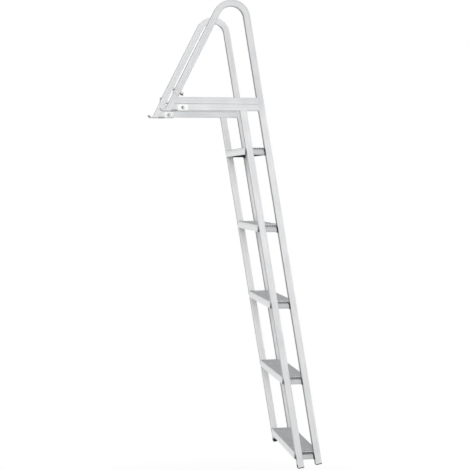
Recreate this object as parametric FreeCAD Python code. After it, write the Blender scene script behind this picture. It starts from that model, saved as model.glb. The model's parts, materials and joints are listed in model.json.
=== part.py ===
import FreeCAD, Part
import math
import os

# Dock ladder of welded square aluminium tube, in millimetres.
# X runs out over the water, Y across the ladder from its left frame to its right one, Z up.
# The origin lies on the left deck bracket's underside, below the lower rail's axis, so the deck is Z = 0.

# Square tube of the side frames
tube = 25.0
tube_wall = 1.5
tube_ease = 1.0

# Side frames
frame_spacing = 460.0
stile_lean = 9.35
stile_spacing = 73.5
rear_stile_reach = 337.0
leg_lean = 27.0
leg_setback = 29.0
arch_radius = 60.0

# Narrow tube that the lower end of the inclined leg slides over
stub_clearance = 0.2
stub_wall = 1.5
stub_engagement = 60.0
sleeve_gap = 3.0

# Treads
tread_count = 5
tread_rise = 300.0
first_tread_drop = 136.0
tread_height = 25.5
tread_web = 2.5
tread_flange = 2.0
tread_nose = 1.6
channel_width = 9.0
channel_height = 8.0
channel_bore = 5.4
flute_drop = 6.0
flute_width = 1.4
flute_depth = 0.6
stiffener_count = 2
stiffener_depth = 7.0
groove_pitch = 9.6
groove_count = 9
groove_depth = 4.0
groove_mouth = 3.6
groove_flare = 0.9

# Rubber mats on the treads
mat_thickness = 2.5
mat_margin = 2.0
mat_end_gap = 0.5
mat_clearance = 0.15
rib_trim = 12.0

# Cross bars between the stiles, set in from the stiles' outer faces and under the treads' ends
bar_height = 20.0
bar_width = 25.0
bar_wall = 1.5
bar_setback = 12.5

# Feet
foot_length = 50.0
cap_flange = 4.0
cap_plug = 14.0
cap_plug_wall = 2.0
cap_clearance = 0.3

# Deck brackets: a base plate with a toe bent up at its dock end, and a cheek each side of the lower rail
plate_length = 98.0
plate_width = 58.0
plate_thickness = 3.0
toe_length = 13.0
toe_slope = 45.0
toe_bend = 3.0
shoulder_gap = 2.0
cheek_length = 39.0
cheek_height = 21.0
cheek_thickness = 3.0
cheek_corner = 5.0
cheek_clearance = 0.3
screw_hole_radius = 3.3
screw_spacing_x = 34.0
screw_spacing_y = 44.0

# Bolt through the cheeks and the lower rail
bolt_radius = 4.0
bolt_clearance = 0.3
bolt_inset = 19.5
bolt_height = 13.0
bolt_head_width = 13.0
bolt_head_height = 5.3
bolt_nut_height = 6.5
bolt_tail = 3.0

# Lock pin across the leg and the stub inside it
pin_radius = 4.0
pin_clearance = 0.1
pin_inset = 13.5
pin_seat = 0.1
pin_head_radius = 6.5
pin_head_length = 7.5
pin_tip = 6.0
pin_chamfer = 1.3

# Sizes worked out from those above
half_tube = tube / 2
lean = math.radians(stile_lean)
leg_angle = math.radians(leg_lean)
stile_slope = math.tan(lean)
leg_slope = math.tan(leg_angle)
stile_half = half_tube / math.cos(lean)
stub_size = tube - 2 * tube_wall - 2 * stub_clearance
tread_depth = stile_spacing + 2 * stile_half
rail_floor = plate_thickness
rail_top = rail_floor + 2 * tube
sleeve_height = rail_top + sleeve_gap + half_tube * math.sin(leg_angle)
cheek_start = plate_length / 2 - cheek_length
cheek_inner = half_tube + cheek_clearance
cheek_outer = cheek_inner + cheek_thickness
screw_centre_x = (cheek_start - plate_length / 2) / 2
bar_outer = bar_setback - half_tube
bar_inner = bar_outer + bar_width
last_tread_top = -first_tread_drop - (tread_count - 1) * tread_rise
sides = (("left", 0.0), ("right", frame_spacing))

# Far enough for a cutting tool to pass right through any piece
overshoot = 4 * tube

across = FreeCAD.Vector(0, 1, 0)
stile_down = FreeCAD.Vector(math.sin(lean), 0, -math.cos(lean))
leg_up = FreeCAD.Vector(math.sin(leg_angle), 0, math.cos(leg_angle))


def rear_x(z):
    """X of the rear stile's axis at height z."""
    return rear_stile_reach - stile_slope * z


def front_x(z):
    """X of the front stile's axis at height z."""
    return rear_x(z) - stile_spacing


def leg_x(z):
    """X of the inclined leg's axis at height z."""
    return leg_slope * z - leg_setback


def save(name, shape):
    """Write one piece to its own file after checking that it is one valid solid."""
    solids = shape.Solids
    if len(solids) != 1 or not shape.isValid():
        raise ValueError(name + " is not one valid solid")
    solids[0].exportStep("parts/" + name + ".step")
    print(name, round(solids[0].Volume, 1))


def eased_square(centre, along, size, ease):
    """Wire of a square with its corners cut off by ease, square to the direction along and level in Y."""
    up = along.cross(across)
    up.normalize()
    half = size / 2
    flat = half - ease
    corners = []
    for turn in range(4):
        c = round(math.cos(turn * math.pi / 2))
        s = round(math.sin(turn * math.pi / 2))
        for a, b in ((half, -flat), (half, flat)):
            corners.append(centre + across * (c * a - s * b) + up * (s * a + c * b))
    return Part.makePolygon(corners + corners[:1])


def plain_square(centre, along, size):
    """Wire of a sharp-cornered square, square to the direction along and level in Y."""
    up = along.cross(across)
    up.normalize()
    half = size / 2
    places = ((half, -half), (half, half), (-half, half), (-half, -half))
    corners = [centre + across * a + up * b for a, b in places]
    return Part.makePolygon(corners + corners[:1])


def tube_section(centre, along, size, wall, ease):
    """Face of a square tube's wall, its corners eased outside and sharp in the bore."""
    outer = eased_square(centre, along, size, ease)
    bore = plain_square(centre, along, size - 2 * wall)
    return Part.makeFace([outer, bore], "Part::FaceMakerBullseye")


def straight_tube(start, end, size, wall, ease):
    """Square tube from start to end, cut square and open at both ends."""
    run = end - start
    along = FreeCAD.Vector(run)
    along.normalize()
    return tube_section(start, along, size, wall, ease).extrude(run)


def side_prism(points, y_low, y_high):
    """Prism over a polygon of (x, z) points, from y_low to y_high."""
    corners = [FreeCAD.Vector(x, y_low, z) for x, z in points]
    wire = Part.makePolygon(corners + corners[:1])
    return Part.Face(wire).extrude(across * (y_high - y_low))


def edges_across(shape, low_z):
    """Edges of a shape that run straight along Y above height low_z."""
    return [edge for edge in shape.Edges
            if abs(edge.tangentAt(edge.FirstParameter).y) > 0.99 and edge.CenterOfMass.z > low_z]


def make_foot_point(stile_x):
    """Centre of a stile's cut end, on one line square to the stiles."""
    middle_z = last_tread_top - foot_length
    middle = FreeCAD.Vector(rear_x(middle_z) - stile_spacing / 2, 0, middle_z)
    start = FreeCAD.Vector(stile_x(middle_z), 0, middle_z)
    return start + stile_down * (middle - start).dot(stile_down)


def make_sleeve_end():
    """Centre of the inclined leg's square-cut lower end."""
    return FreeCAD.Vector(leg_x(sleeve_height), 0, sleeve_height)


def make_pin_line():
    """Point where the lock pin crosses the leg's axis, and its direction out to the water."""
    centre = make_sleeve_end() + leg_up * pin_inset
    return centre, FreeCAD.Vector(leg_up.z, 0, -leg_up.x)


def make_pin_hole():
    """Cross hole for the lock pin through both walls of leg and stub."""
    centre, along = make_pin_line()
    return Part.makeCylinder(pin_radius + pin_clearance, 2 * overshoot, centre - along * overshoot, along)


def make_handrail_tube():
    """One bent tube: a straight leg, an arch turned about its centre, and a straight rear stile."""
    apex_z = (rear_stile_reach + leg_setback) / (leg_slope + stile_slope)
    apex = FreeCAD.Vector(rear_x(apex_z), 0, apex_z)
    half_angle = (lean + leg_angle) / 2
    to_tangent = arch_radius / math.tan(half_angle)
    bisector = stile_down - leg_up
    bisector.normalize()
    centre = apex + bisector * (arch_radius / math.sin(half_angle))
    leg_top = apex - leg_up * to_tangent
    stile_top = apex + stile_down * to_tangent
    leg = straight_tube(make_sleeve_end(), leg_top, tube, tube_wall, tube_ease)
    stile = straight_tube(stile_top, make_foot_point(rear_x), tube, tube_wall, tube_ease)
    bend_angle = 180 - stile_lean - leg_lean
    arch = tube_section(leg_top, leg_up, tube, tube_wall, tube_ease).revolve(centre, across, bend_angle)
    return leg.fuse([arch, stile]).cut(make_pin_hole())


def make_front_stile():
    """Straight stile whose top is cut level under the lower rail and whose foot is cut square."""
    above_rail = rail_floor + tube
    top = FreeCAD.Vector(front_x(above_rail), 0, above_rail)
    blank = straight_tube(top, make_foot_point(front_x), tube, tube_wall, tube_ease)
    above = Part.makeBox(2 * overshoot, 2 * overshoot, overshoot)
    above.translate(FreeCAD.Vector(top.x - overshoot, -overshoot, rail_floor))
    return blank.cut(above)


def make_leg_stub():
    """Narrow tube from the bracket's plate up inside the leg, with the lock pin's cross hole."""
    below_plate = rail_floor - tube
    low = FreeCAD.Vector(leg_x(below_plate), 0, below_plate)
    high = make_sleeve_end() + leg_up * stub_engagement
    blank = straight_tube(low, high, stub_size, stub_wall, tube_ease)
    below = Part.makeBox(2 * overshoot, 2 * overshoot, overshoot)
    below.translate(FreeCAD.Vector(low.x - overshoot, -overshoot, rail_floor - overshoot))
    return blank.cut(below).cut(make_pin_hole())


def make_lock_pin():
    """Round pin with its head on the water side and a chamfered tip on the dock side."""
    centre, along = make_pin_line()
    head_seat = half_tube + pin_seat
    tip_reach = half_tube + pin_tip
    tip = centre - along * tip_reach
    shank = Part.makeCylinder(pin_radius, tip_reach + head_seat, tip, along)
    tip_edge = [edge for edge in shank.Edges if (edge.CenterOfMass - tip).Length < pin_chamfer]
    shank = shank.makeChamfer(pin_chamfer, tip_edge)
    head = Part.makeCylinder(pin_head_radius, pin_head_length, centre + along * head_seat, along)
    return shank.fuse(head)


def make_bolt_hole():
    """Cross hole for the bracket bolt, through rail and cheeks."""
    centre = FreeCAD.Vector(cheek_start + bolt_inset, -overshoot, bolt_height)
    return Part.makeCylinder(bolt_radius + bolt_clearance, 2 * overshoot, centre, across)


def make_rail(level):
    """Level tube from the stub's face out to the rear stile's face, both ends cut to fit."""
    low = rail_floor + level * tube
    high = low + tube
    middle = low + half_tube
    start = FreeCAD.Vector(leg_x(low) - tube, 0, middle)
    end = FreeCAD.Vector(rear_x(low) + tube, 0, middle)
    stub_half = stub_size / 2 / math.cos(leg_angle)
    between = side_prism([
        (leg_x(low) + stub_half, low),
        (rear_x(low) - stile_half, low),
        (rear_x(high) - stile_half, high),
        (leg_x(high) + stub_half, high),
    ], -tube, tube)
    rail = straight_tube(start, end, tube, tube_wall, tube_ease).common(between)
    if level == 0:
        rail = rail.cut(make_bolt_hole())
    return rail


def tread_top(number):
    """Height of a mat's top, counted from the deck down."""
    return -first_tread_drop - (number - 1) * tread_rise


def tread_centre(number):
    """X of a tread's middle, where its mat's top is centred between the stiles."""
    return rear_x(tread_top(number)) - stile_spacing / 2


def make_cross_bar(number):
    """Short level tube between the stiles that carries a tread's web, its ends cut to the lean."""
    top = tread_top(number) - mat_thickness - groove_depth - tread_web
    low = top - bar_height
    outer = side_prism([
        (front_x(low) + stile_half, low),
        (rear_x(low) - stile_half, low),
        (rear_x(top) - stile_half, top),
        (front_x(top) + stile_half, top),
    ], bar_outer, bar_inner)
    long_edges = [edge for edge in outer.Edges if abs(edge.tangentAt(edge.FirstParameter).x) > 0.99]
    outer = outer.makeChamfer(tube_ease, long_edges)
    corner = FreeCAD.Vector(tread_centre(number) - overshoot, bar_outer + bar_wall, low + bar_wall)
    bore = Part.makeBox(2 * overshoot, bar_width - 2 * bar_wall, bar_height - 2 * bar_wall, corner)
    return outer.cut(bore)


def groove_outline(x, top, grow):
    """Dovetail outline about x, open at top and wider at its floor; grow is taken off all round."""
    mouth = groove_mouth / 2 - grow
    floor = groove_mouth / 2 + groove_flare - grow
    bottom = top - groove_depth + grow
    open_top = top + mat_clearance - grow
    return [(x - mouth, open_top), (x - floor, bottom), (x + floor, bottom), (x + mouth, open_top)]


def groove_places(number):
    """X of each groove of one tread."""
    first = tread_centre(number) - groove_pitch * (groove_count - 1) / 2
    return [first + groove_pitch * step for step in range(groove_count)]


def make_stiffeners(number):
    """Ribs under a tread's web, from the cross bars of one side frame to those of the other."""
    under = tread_top(number) - mat_thickness - groove_depth - tread_web
    half = tread_web / 2
    ribs = []
    for step in range(stiffener_count):
        share = step - (stiffener_count - 1) / 2
        x = tread_centre(number) + share * tread_depth / (stiffener_count + 1)
        outline = [(x - half, under - stiffener_depth), (x + half, under - stiffener_depth),
                   (x + half, under), (x - half, under)]
        ribs.append(side_prism(outline, bar_inner, frame_spacing - bar_inner))
    return ribs


def make_tread(number):
    """Deep channel: dovetail grooves on top, nose and flute on each flange, a round bore along each foot."""
    top = tread_top(number) - mat_thickness
    centre = tread_centre(number)
    y_low = half_tube
    y_high = frame_spacing - half_tube
    half_depth = tread_depth / 2
    bottom = top - tread_height
    under = top - groove_depth - tread_web
    channel_top = bottom + channel_height
    low_x = centre - half_depth
    outline = [
        (low_x, top), (low_x, bottom), (low_x + channel_width, bottom), (low_x + channel_width, channel_top),
        (low_x + tread_flange, channel_top), (low_x + tread_flange, under),
    ]
    outline += [(2 * centre - x, z) for x, z in reversed(outline)]
    tread = side_prism(outline, y_low, y_high).fuse(make_stiffeners(number))
    noses = [edge for edge in edges_across(tread, top - tread_web)
             if abs(edge.CenterOfMass.x - centre) > half_depth - tread_flange]
    tread = tread.makeFillet(tread_nose, noses)
    flute_z = top - flute_drop
    bore_z = bottom + channel_height / 2
    for outward in (-1, 1):
        edge_x = centre + outward * half_depth
        flute = [(edge_x, flute_z - flute_width / 2), (edge_x - outward * flute_depth, flute_z),
                 (edge_x, flute_z + flute_width / 2)]
        tread = tread.cut(side_prism(flute, y_low, y_high))
        bore_start = FreeCAD.Vector(edge_x - outward * channel_width / 2, y_low, bore_z)
        tread = tread.cut(Part.makeCylinder(channel_bore / 2, y_high - y_low, bore_start, across))
    for x in groove_places(number):
        tread = tread.cut(side_prism(groove_outline(x, top, 0), y_low, y_high))
    return tread


def make_tread_mat(number):
    """Rubber sheet on the tread, with a dovetail rib in each groove that stops short of the sheet's ends."""
    top = tread_top(number)
    under = top - mat_thickness
    centre = tread_centre(number)
    half = tread_depth / 2 - mat_margin
    y_low = half_tube + mat_end_gap
    y_high = frame_spacing - half_tube - mat_end_gap
    sheet = [(centre - half, under), (centre + half, under), (centre + half, top), (centre - half, top)]
    mat = side_prism(sheet, y_low, y_high)
    ribs = [side_prism(groove_outline(x, under, mat_clearance), y_low + rib_trim, y_high - rib_trim)
            for x in groove_places(number)]
    return mat.fuse(ribs)


def make_foot_cap(stile_x):
    """Plastic cap with a flange as wide as the tube and a hollow plug inside it."""
    end = make_foot_point(stile_x)
    flange = Part.Face(eased_square(end, stile_down, tube, tube_ease)).extrude(stile_down * cap_flange)
    plug_size = tube - 2 * tube_wall - 2 * cap_clearance
    plug_end = end - stile_down * cap_plug
    outer = plain_square(plug_end, stile_down, plug_size)
    hollow = plain_square(plug_end, stile_down, plug_size - 2 * cap_plug_wall)
    plug = Part.makeFace([outer, hollow], "Part::FaceMakerBullseye").extrude(stile_down * cap_plug)
    return flange.fuse(plug)


def make_base_plate():
    """Level plate whose dock end is bent up into a sloping toe, with a round bend."""
    back = -plate_length / 2
    front = plate_length / 2
    slope = math.radians(toe_slope)
    inside_bend = back + plate_thickness * math.tan(slope / 2)
    tip_x = back - toe_length * math.cos(slope)
    tip_z = toe_length * math.sin(slope)
    side_view = [
        (front, 0), (back, 0), (tip_x, tip_z),
        (tip_x + plate_thickness * math.sin(slope), tip_z + plate_thickness * math.cos(slope)),
        (inside_bend, plate_thickness), (front, plate_thickness),
    ]
    plate = side_prism(side_view, -plate_width / 2, plate_width / 2)
    for x, z, radius in ((back, 0, toe_bend + plate_thickness), (inside_bend, plate_thickness, toe_bend)):
        bend = [edge for edge in edges_across(plate, -plate_thickness)
                if math.hypot(edge.CenterOfMass.x - x, edge.CenterOfMass.z - z) < tube_ease]
        plate = plate.makeFillet(radius, bend)
    return plate


def make_deck_bracket():
    """Base plate, wide round the stub and no wider than the cheeks beyond it, with four screw holes."""
    plate = make_base_plate()
    shoulder = cheek_start - shoulder_gap
    spare = plate_width / 2 - cheek_outer
    for y_low in (-plate_width / 2, cheek_outer):
        corner = FreeCAD.Vector(shoulder, y_low, 0)
        plate = plate.cut(Part.makeBox(cheek_length + shoulder_gap, spare, plate_thickness, corner))
    for x in (screw_centre_x - screw_spacing_x / 2, screw_centre_x + screw_spacing_x / 2):
        for y in (-screw_spacing_y / 2, screw_spacing_y / 2):
            plate = plate.cut(Part.makeCylinder(screw_hole_radius, plate_thickness, FreeCAD.Vector(x, y, 0)))
    return plate


def make_cheek(y_low):
    """Upright cheek on the base plate with rounded corners and the bolt's hole."""
    corner = FreeCAD.Vector(cheek_start, y_low, plate_thickness)
    cheek = Part.makeBox(cheek_length, cheek_thickness, cheek_height, corner)
    cheek = cheek.makeFillet(cheek_corner, edges_across(cheek, plate_thickness + cheek_height / 2))
    return cheek.cut(make_bolt_hole())


def hexagon(width, height, x, y, z):
    """Hexagonal prism across Y, its flats width apart, starting at y and height long."""
    centre = FreeCAD.Vector(x, y, z)
    to_corner = width / math.sqrt(3)
    points = []
    for step in range(7):
        angle = step * math.pi / 3
        points.append(centre + FreeCAD.Vector(math.cos(angle), 0, math.sin(angle)) * to_corner)
    return Part.Face(Part.makePolygon(points)).extrude(across * height)


def make_bracket_bolt():
    """Hexagon bolt across the bracket, its head on the outer side and its nut on the inner one."""
    x = cheek_start + bolt_inset
    head = hexagon(bolt_head_width, bolt_head_height, x, -cheek_outer - bolt_head_height, bolt_height)
    nut = hexagon(bolt_head_width, bolt_nut_height, x, cheek_outer, bolt_height)
    length = 2 * cheek_outer + bolt_nut_height + bolt_tail
    shank = Part.makeCylinder(bolt_radius, length, FreeCAD.Vector(x, -cheek_outer, bolt_height), across)
    return head.fuse([shank, nut])


def build():
    """Make the left side frame and its mirror image, then the treads and mats between them."""
    os.makedirs("parts", exist_ok=True)
    for side, y in sides:
        frame = {
            "handrail_tube": make_handrail_tube(),
            "front_stile": make_front_stile(),
            "leg_stub": make_leg_stub(),
            "lock_pin": make_lock_pin(),
            "lower_rail": make_rail(0),
            "upper_rail": make_rail(1),
            "deck_bracket": make_deck_bracket(),
            "outer_cheek": make_cheek(-cheek_outer),
            "inner_cheek": make_cheek(cheek_inner),
            "bracket_bolt": make_bracket_bolt(),
            "front_foot_cap": make_foot_cap(front_x),
            "rear_foot_cap": make_foot_cap(rear_x),
        }
        for number in range(1, tread_count + 1):
            frame["cross_bar_" + str(number)] = make_cross_bar(number)
        for name, shape in frame.items():
            if side == "right":
                shape = shape.mirror(FreeCAD.Vector(0, 0, 0), across)
            shape.translate(across * y)
            save(side + "_" + name, shape)
    for number in range(1, tread_count + 1):
        save("tread_" + str(number), make_tread(number))
        save("tread_mat_" + str(number), make_tread_mat(number))


build()
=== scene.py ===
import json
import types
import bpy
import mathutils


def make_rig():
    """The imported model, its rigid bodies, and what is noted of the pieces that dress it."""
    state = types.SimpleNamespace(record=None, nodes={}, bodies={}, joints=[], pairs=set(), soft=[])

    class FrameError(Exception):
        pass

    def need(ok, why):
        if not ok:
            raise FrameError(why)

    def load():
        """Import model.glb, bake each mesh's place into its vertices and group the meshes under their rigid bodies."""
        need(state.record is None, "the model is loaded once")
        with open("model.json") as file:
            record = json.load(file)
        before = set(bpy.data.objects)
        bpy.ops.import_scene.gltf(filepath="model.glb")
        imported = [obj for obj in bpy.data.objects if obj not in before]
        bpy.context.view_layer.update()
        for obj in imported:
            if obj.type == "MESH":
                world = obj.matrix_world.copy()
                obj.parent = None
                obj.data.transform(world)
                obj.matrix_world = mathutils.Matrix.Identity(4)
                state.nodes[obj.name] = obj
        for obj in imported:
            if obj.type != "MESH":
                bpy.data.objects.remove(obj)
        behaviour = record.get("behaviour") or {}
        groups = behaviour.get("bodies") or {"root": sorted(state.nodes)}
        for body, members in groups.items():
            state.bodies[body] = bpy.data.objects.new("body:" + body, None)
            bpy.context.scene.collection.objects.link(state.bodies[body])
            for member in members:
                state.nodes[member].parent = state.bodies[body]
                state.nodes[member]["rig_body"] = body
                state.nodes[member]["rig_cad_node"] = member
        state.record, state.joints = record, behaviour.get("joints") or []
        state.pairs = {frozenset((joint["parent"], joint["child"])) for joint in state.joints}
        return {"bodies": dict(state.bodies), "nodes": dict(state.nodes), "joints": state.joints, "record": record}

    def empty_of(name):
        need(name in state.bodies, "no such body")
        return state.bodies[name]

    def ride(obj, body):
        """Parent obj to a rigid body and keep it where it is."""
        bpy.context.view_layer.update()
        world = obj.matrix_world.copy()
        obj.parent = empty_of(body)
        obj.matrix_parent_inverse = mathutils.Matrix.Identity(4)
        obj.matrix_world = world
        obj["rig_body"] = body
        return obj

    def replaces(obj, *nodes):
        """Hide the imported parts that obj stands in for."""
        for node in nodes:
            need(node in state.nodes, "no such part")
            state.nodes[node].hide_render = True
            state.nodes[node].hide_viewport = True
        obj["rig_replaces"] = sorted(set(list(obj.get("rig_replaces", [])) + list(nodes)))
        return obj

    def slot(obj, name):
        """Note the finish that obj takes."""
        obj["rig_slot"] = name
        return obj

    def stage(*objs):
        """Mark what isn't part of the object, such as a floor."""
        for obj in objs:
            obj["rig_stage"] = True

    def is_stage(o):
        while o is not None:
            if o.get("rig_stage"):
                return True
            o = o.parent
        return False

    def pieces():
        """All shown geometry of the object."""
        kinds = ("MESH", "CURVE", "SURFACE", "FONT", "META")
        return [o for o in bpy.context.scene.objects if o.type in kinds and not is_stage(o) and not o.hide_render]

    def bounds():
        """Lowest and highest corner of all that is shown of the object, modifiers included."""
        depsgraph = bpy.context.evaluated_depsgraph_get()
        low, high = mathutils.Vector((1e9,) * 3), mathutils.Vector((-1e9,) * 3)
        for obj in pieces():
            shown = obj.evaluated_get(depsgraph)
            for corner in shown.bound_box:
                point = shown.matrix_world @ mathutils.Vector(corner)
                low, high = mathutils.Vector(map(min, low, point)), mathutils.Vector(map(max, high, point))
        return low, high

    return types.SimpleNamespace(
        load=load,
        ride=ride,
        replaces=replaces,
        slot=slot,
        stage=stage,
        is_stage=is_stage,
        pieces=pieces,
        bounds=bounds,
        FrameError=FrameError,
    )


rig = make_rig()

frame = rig.load()

import json
import math

import bpy
import numpy as np

cad_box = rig.bounds()


# The view of the photograph: from the dock's left, at a height between the first two treads,
# turned a little towards the water and down. It was worked out from the edges of the stiles, legs,
# rails and treads.
image_side = 470
focal_pixels = 1100.0
sensor_width = 36.0
camera_place = (-0.51098, -4.17996, -0.273545)
camera_turn = math.radians(10.075)
camera_tilt = math.radians(2.714)
camera_roll = math.radians(0.086)

scene = bpy.context.scene
lens_data = bpy.data.cameras.new("camera")
lens_data.sensor_width = sensor_width
lens_data.lens = sensor_width * focal_pixels / image_side
camera = bpy.data.objects.new("camera", lens_data)
camera.location = camera_place
camera.rotation_euler = (math.pi / 2 - camera_tilt, camera_roll, -camera_turn)
scene.collection.objects.link(camera)
scene.camera = camera


# White studio: an even sky, brighter overhead, a pale floor well below the feet, and two wide, even
# lamps. Floor and sky are plain white to the eye and in reflections. In bounced light the floor is
# dark, so that undersides keep their shade.
class Wire:
    """A shader socket that adds Math nodes when it is used in an expression."""

    def __init__(self, shade, socket):
        self.shade = shade
        self.socket = socket

    def maths(self, operation, *values):
        """Adds a Math node with these numbers and wires on its sockets, in their order."""
        sockets = {"_" + str(place): value for place, value in enumerate(values)}
        return self.shade.node("ShaderNodeMath", {"operation": operation}, **sockets)

    def __add__(self, other):
        return self.maths("ADD", self, other)

    def __radd__(self, other):
        return self.maths("ADD", other, self)

    def __sub__(self, other):
        return self.maths("SUBTRACT", self, other)

    def __rsub__(self, other):
        return self.maths("SUBTRACT", other, self)

    def __mul__(self, other):
        return self.maths("MULTIPLY", self, other)

    def __rmul__(self, other):
        return self.maths("MULTIPLY", other, self)

    def __truediv__(self, other):
        return self.maths("DIVIDE", self, other)

    def __rtruediv__(self, other):
        return self.maths("DIVIDE", other, self)

    def __abs__(self):
        return self.maths("ABSOLUTE", self)

    def __round__(self):
        return self.maths("ROUND", self)

    def clamp(self):
        """The value, held between nought and one."""
        return self.maths("MINIMUM", self.maths("MAXIMUM", self, 0.0), 1.0)

    def part(self, axis):
        """The X, Y or Z of a vector."""
        return self.shade.node("ShaderNodeSeparateXYZ", output=axis, Vector=self)


class Shader:
    """The nodes of a material or world, with one method that adds any node."""

    def __init__(self, owner):
        owner.use_nodes = True
        self.owner = owner
        self.tree = owner.node_tree
        self.tree.nodes.clear()

    def node(self, kind, settings=None, output=0, **sockets):
        """Adds a node: its settings come first, then the values or links of its sockets. A socket goes
        by its name, with _ for a blank, or by its number, as _6. Gives the output asked for."""
        made = self.tree.nodes.new(kind)
        for name, value in (settings or {}).items():
            setattr(made, name, value)
        for name, value in sockets.items():
            socket = made.inputs[int(name[1:])] if name[0] == "_" else made.inputs[name.replace("_", " ")]
            if isinstance(value, Wire):
                self.tree.links.new(value.socket, socket)
            else:
                socket.default_value = value
        return Wire(self, made.outputs[output]) if made.outputs else None


def ramp(value, start, full):
    """Mask that goes evenly from nought, where the value is start, to one, where it is full."""
    return ((value - start) / (full - start)).clamp()


sky_tint = (0.98, 0.99, 1.0, 1.0)
sky_low = 0.14
sky_rise = 0.62
white = (1.0, 1.0, 1.0, 1.0)
sky = bpy.data.worlds.new("sky")
scene.world = sky
shade = Shader(sky)
plain_rays = ("Is Camera Ray", "Is Glossy Ray", "Is Transmission Ray")
seen = sum(shade.node("ShaderNodeLightPath", output=ray) for ray in plain_rays).clamp()
direction = shade.node("ShaderNodeTexCoord", output="Generated")
sky_strength = direction.part("Z").clamp() * sky_rise + sky_low
lit = shade.node("ShaderNodeBackground", Color=sky_tint, Strength=sky_strength)
plain = shade.node("ShaderNodeBackground", Color=white, Strength=1.0)
mixed = shade.node("ShaderNodeMixShader", Fac=seen, _1=lit, _2=plain)
shade.node("ShaderNodeOutputWorld", Surface=mixed)

floor_drop = 0.4
floor_half = 12.0
floor_level = cad_box[0][2] - floor_drop
floor_pale = (0.9, 0.9, 0.9, 1.0)
floor_dark = (0.2, 0.2, 0.2, 1.0)
shadow_near = 0.8
shadow_far = 1.6
shadow_glow = 0.8
middle = np.mean(cad_box, axis=0)
floor_mesh = bpy.data.meshes.new("floor")
floor_ways = ((-1, -1), (1, -1), (1, 1), (-1, 1))
floor_corners = [(x * floor_half, y * floor_half, floor_level) for x, y in floor_ways]
floor_mesh.from_pydata(floor_corners, [], [(0, 1, 2, 3)])
floor = bpy.data.objects.new("floor", floor_mesh)
scene.collection.objects.link(floor)
floor_paint = bpy.data.materials.new("floor_paint")
shade = Shader(floor_paint)
place = shade.node("ShaderNodeTexCoord", output="Object")
under_middle = (middle[0], middle[1], floor_level)
reach = shade.node("ShaderNodeVectorMath", {"operation": "DISTANCE"}, "Value", _0=place, _1=under_middle)
glow_share = ramp(reach, shadow_near, shadow_far) * (1 - shadow_glow) + shadow_glow
pale = shade.node("ShaderNodeBsdfDiffuse", Color=floor_pale)
glow = shade.node("ShaderNodeEmission", Color=white, Strength=1.0)
shown = shade.node("ShaderNodeMixShader", Fac=glow_share, _1=pale, _2=glow)
dark = shade.node("ShaderNodeBsdfDiffuse", Color=floor_dark)
bounced = shade.node("ShaderNodeLightPath", output="Is Diffuse Ray")
mixed = shade.node("ShaderNodeMixShader", Fac=bounced, _1=shown, _2=dark)
shade.node("ShaderNodeOutputMaterial", Surface=mixed)
floor_mesh.materials.append(floor_paint)
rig.stage(floor)


lamp_spread = math.radians(30)


def wide_lamp(name, side, strength):
    """A wide even lamp far away on the given side, as a big soft box gives: its light reaches every
    height and both side frames alike."""
    data = bpy.data.lights.new(name, "SUN")
    data.angle = lamp_spread
    data.energy = strength
    lamp = bpy.data.objects.new(name, data)
    lamp.visible_glossy = False
    lamp.location = middle + side
    flat = math.hypot(side[0], side[1])
    lamp.rotation_euler = (math.atan2(flat, side[2]), 0.0, math.atan2(side[1], side[0]) + math.pi / 2)
    scene.collection.objects.link(lamp)


wide_lamp("front_lamp", side=np.array([-0.8, -5.0, 0.7]), strength=2.0)
wide_lamp("dock_lamp", side=np.array([-5.0, -0.5, 1.8]), strength=0.35)
scene.view_settings.view_transform = "Standard"


# Handrail tubes: one square tube of drawn aluminium a side, brushed along its length and clear
# anodised. It is bent over an arch, from the lock pin on the inclined leg down the rear stile to
# the foot, and the rails and cross bars are welded to it.
tube = 0.025
tube_size = (tube, tube)
tube_wall = 0.0015
tube_corner = 0.0022
corner_steps = 5
flat_support = 0.0006
crease = math.radians(32.0)
frame_spacing = 0.46
stile_lean = math.radians(9.35)
stile_spacing = 0.0735
rear_stile_reach = 0.337
leg_lean = math.radians(27.0)
leg_setback = 0.029
arch_radius = 0.06
arch_steps = 56
plate_thickness = 0.003
sleeve_gap = 0.003
tread_count = 5
tread_rise = 0.3
first_tread_drop = 0.136
foot_length = 0.05

to_water = np.array([1.0, 0.0, 0.0])
across = np.array([0.0, 1.0, 0.0])
stile_down = np.array([math.sin(stile_lean), 0.0, -math.cos(stile_lean)])
leg_up = np.array([math.sin(leg_lean), 0.0, math.cos(leg_lean)])
half_tube = tube / 2
rail_floor = plate_thickness
rail_top = rail_floor + 2 * tube
sleeve_height = rail_top + sleeve_gap + half_tube * math.sin(leg_lean)


def unit(vectors):
    """The vectors, each divided by its length."""
    return vectors / np.linalg.norm(vectors, axis=-1, keepdims=True)


def rear_axis(z):
    """Point of the rear stile's axis at height z."""
    return np.array([rear_stile_reach - math.tan(stile_lean) * z, 0.0, z])


def leg_axis(z):
    """Point of the inclined leg's axis at height z."""
    return np.array([math.tan(leg_lean) * z - leg_setback, 0.0, z])


def foot_point(axis):
    """Point of a stile's axis on the line square to the stiles through the middle of their feet."""
    foot_z = -first_tread_drop - (tread_count - 1) * tread_rise - foot_length
    centre = rear_axis(foot_z) - to_water * stile_spacing / 2
    return axis(foot_z) + stile_down * ((centre - axis(foot_z)) @ stile_down)


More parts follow.
